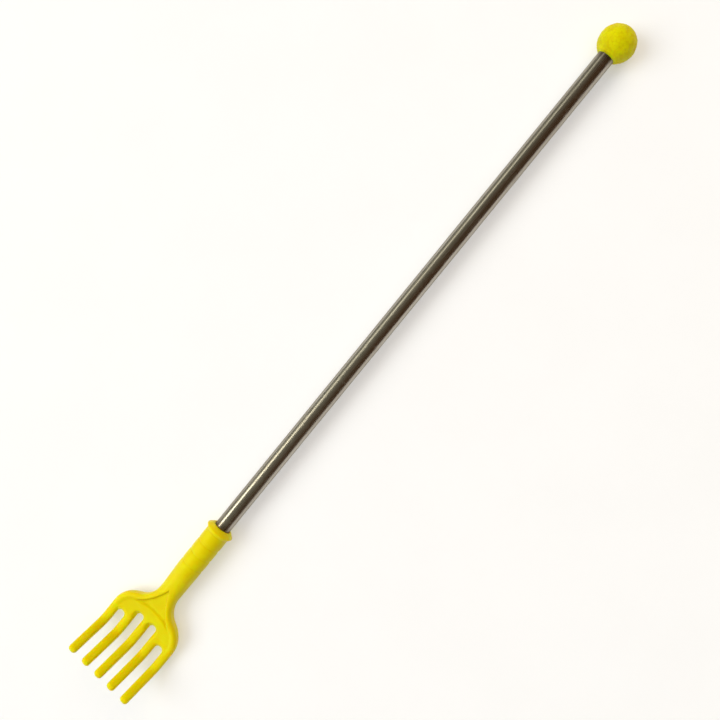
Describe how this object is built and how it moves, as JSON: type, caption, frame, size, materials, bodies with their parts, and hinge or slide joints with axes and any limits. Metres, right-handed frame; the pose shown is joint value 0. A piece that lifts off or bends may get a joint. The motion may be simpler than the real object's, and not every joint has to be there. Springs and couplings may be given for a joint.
{
  "type": "back scratcher",
  "caption": "Massage back scratcher: a curved plastic hand with a ringed neck, a slim straight steel tube and a soft round massage ball on the far end.",
  "frame": {"origin": "middle of the object's box in X and Y, at its lowest point, which is the underside of the ball", "axes": "+X runs along the tube from the hand to the ball, +Z points out of the palm's hollow front, towards which the fingertips curl, and +Y is across the hand"},
  "size_m": [0.4838, 0.0494, 0.0255],
  "materials": {
    "hand_plastic": "glossy moulded yellow",
    "tube_steel": "bright drawn stainless tube",
    "ball_plastic": "satin yellow with a fine pebbled surface",
    "plug_plastic": "natural white, unseen"
  },
  "bodies": {
    "root": {"scratcher_hand": "hand_plastic", "handle_tube": "tube_steel", "massage_ball": "ball_plastic", "hand_end_plug": "plug_plastic", "ball_end_plug": "plug_plastic"}
  },
  "joints": []
}
